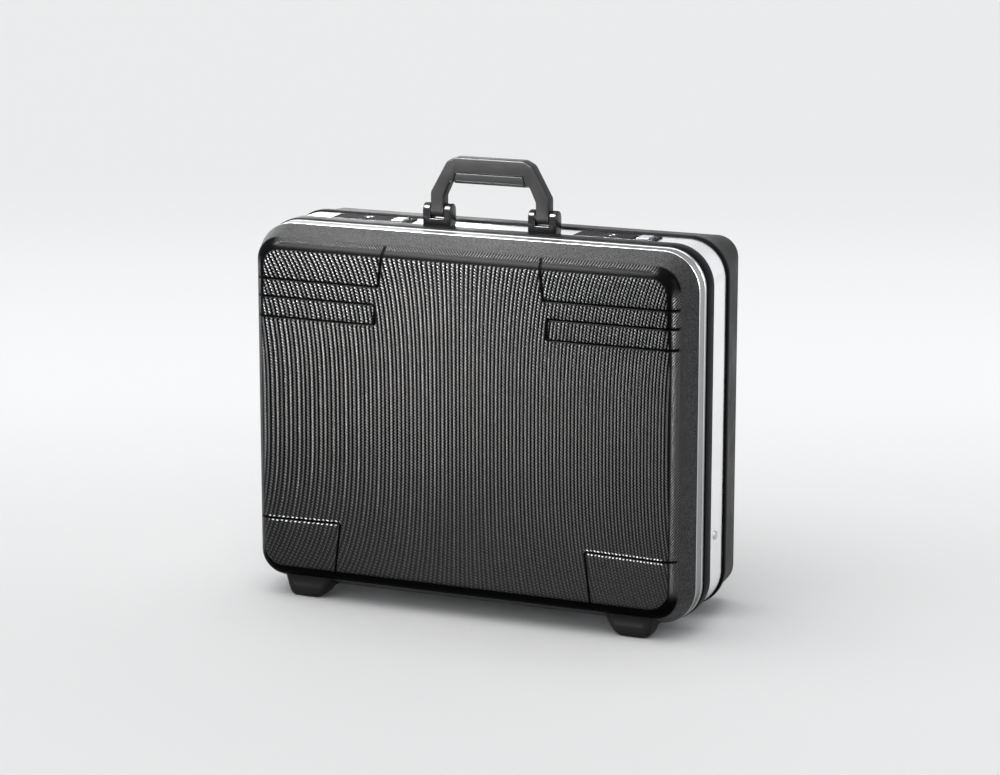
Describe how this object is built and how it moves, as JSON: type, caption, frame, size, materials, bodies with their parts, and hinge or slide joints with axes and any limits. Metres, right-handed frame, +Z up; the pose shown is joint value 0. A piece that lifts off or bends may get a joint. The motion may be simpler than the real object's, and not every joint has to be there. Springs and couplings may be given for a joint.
{
  "type": "attache case",
  "caption": "Upright hard-shell attache case: two moulded shells in aluminium frames, hinged lid with folding stays, slide locks and a swinging handle.",
  "frame": {"origin": "on the ground under the feet, midway between the sides and midway between the front and rear faces", "axes": "+Z up, +X along the case's width, +Y from the lid (front) to the base (rear)"},
  "size_m": [0.48, 0.18, 0.455],
  "materials": {
    "shell": "moulded grain",
    "frame": "satin, clear anodised",
    "bead": "satin",
    "seal": "matt",
    "foot": "satin",
    "fastener": "plain",
    "handle": "fine satin",
    "grip": "fine satin",
    "bracket": "gloss",
    "lock_plate": "satin grey",
    "lock_button": "satin",
    "key_cylinder": "polished",
    "lock_steel": "zinc plated",
    "hinge": "plain",
    "stay": "plain"
  },
  "bodies": {
    "base": {"base_frame": "frame", "base_edge_bead": "bead", "rear_shell": "shell", "handle_bracket_left": "bracket", "handle_bracket_right": "bracket", "lock_plate_left": "lock_plate", "lock_plate_right": "lock_plate", "lock_case_left": "lock_steel", "lock_case_right": "lock_steel", "rear_foot_left": "foot", "rear_foot_right": "foot", "rear_foot_screws": "fastener", "handle_pins": "fastener", "bracket_rivets": "fastener", "lock_rivets": "fastener", "hinge_base_leaf_left": "hinge", "hinge_base_leaf_right": "hinge", "hinge_pins": "fastener", "hinge_base_rivets": "fastener", "stay_base_rivets": "fastener"},
    "lid": {"front_shell": "shell", "lid_frame": "frame", "lid_edge_bead": "bead", "lid_edge_bead_bottom": "bead", "lid_seal": "seal", "front_foot_left": "foot", "front_foot_right": "foot", "front_foot_screws": "fastener", "lock_striker_left": "lock_steel", "lock_striker_right": "lock_steel", "striker_rivets": "fastener", "hinge_lid_leaf_left": "hinge", "hinge_lid_leaf_right": "hinge", "hinge_lid_rivets": "fastener", "stay_lid_rivets": "fastener"},
    "handle": {"handle_frame": "handle", "handle_grip": "grip"},
    "lock_slide_left": {"lock_slide_left": "lock_button"},
    "lock_slide_right": {"lock_slide_right": "lock_button"},
    "lock_hook_left": {"lock_hook_left": "lock_steel"},
    "lock_hook_right": {"lock_hook_right": "lock_steel"},
    "lock_cylinder_left": {"lock_cylinder_left": "key_cylinder"},
    "lock_cylinder_right": {"lock_cylinder_right": "key_cylinder"},
    "stay_arms": {"stay_arm_left": "stay", "stay_arm_right": "stay", "stay_elbow_rivets": "fastener"},
    "stay_links": {"stay_link_left": "stay", "stay_link_right": "stay"}
  },
  "joints": [
    {"name": "lid_hinge", "type": "hinge", "parent": "base", "child": "lid", "pos_m": [0, -0.0203, 0.0087], "axis": [1, 0, 0], "range_deg": [0, 95]},
    {"name": "handle_swing", "type": "hinge", "parent": "base", "child": "handle", "pos_m": [0, -0.0115, 0.3994], "axis": [1, 0, 0], "range_deg": [-85, 85]},
    {"name": "stay_arm_swing", "type": "hinge", "parent": "base", "child": "stay_arms", "pos_m": [0, -0.0042, 0.092], "axis": [1, 0, 0], "range_deg": [0, 95]},
    {"name": "stay_link_swing", "type": "hinge", "parent": "stay_arms", "child": "stay_links", "pos_m": [0, -0.02687, 0.17376], "axis": [1, 0, 0], "range_deg": [-95, 0]},
    {"name": "lock_slide_left_slide", "type": "slide", "parent": "base", "child": "lock_slide_left", "axis": [-1, 0, 0], "range_m": [0, 0.0045], "stiffness_N_per_m": 120, "springref_m": -0.002},
    {"name": "lock_hook_left_swing", "type": "hinge", "parent": "base", "child": "lock_hook_left", "pos_m": [-0.1165, -0.005, 0.3727], "axis": [0, 0, -1], "range_deg": [0, 18]},
    {"name": "lock_cylinder_left_turn", "type": "hinge", "parent": "base", "child": "lock_cylinder_left", "pos_m": [-0.138, -0.005, 0.38], "axis": [0, 0, 1], "range_deg": [0, 90]},
    {"name": "lock_slide_right_slide", "type": "slide", "parent": "base", "child": "lock_slide_right", "axis": [-1, 0, 0], "range_m": [0, 0.0045], "stiffness_N_per_m": 120, "springref_m": -0.002},
    {"name": "lock_hook_right_swing", "type": "hinge", "parent": "base", "child": "lock_hook_right", "pos_m": [0.1485, -0.005, 0.3727], "axis": [0, 0, -1], "range_deg": [0, 18]},
    {"name": "lock_cylinder_right_turn", "type": "hinge", "parent": "base", "child": "lock_cylinder_right", "pos_m": [0.127, -0.005, 0.38], "axis": [0, 0, 1], "range_deg": [0, 90]}
  ],
  "couplings": [
    {"joint": "stay_arm_swing", "follows": "lid_hinge", "ratio": 1},
    {"joint": "stay_link_swing", "follows": "lid_hinge", "ratio": -1},
    {"joint": "lock_hook_left_swing", "follows": "lock_slide_left_slide", "rad_per_m": 69},
    {"joint": "lock_hook_right_swing", "follows": "lock_slide_right_slide", "rad_per_m": 69}
  ]
}
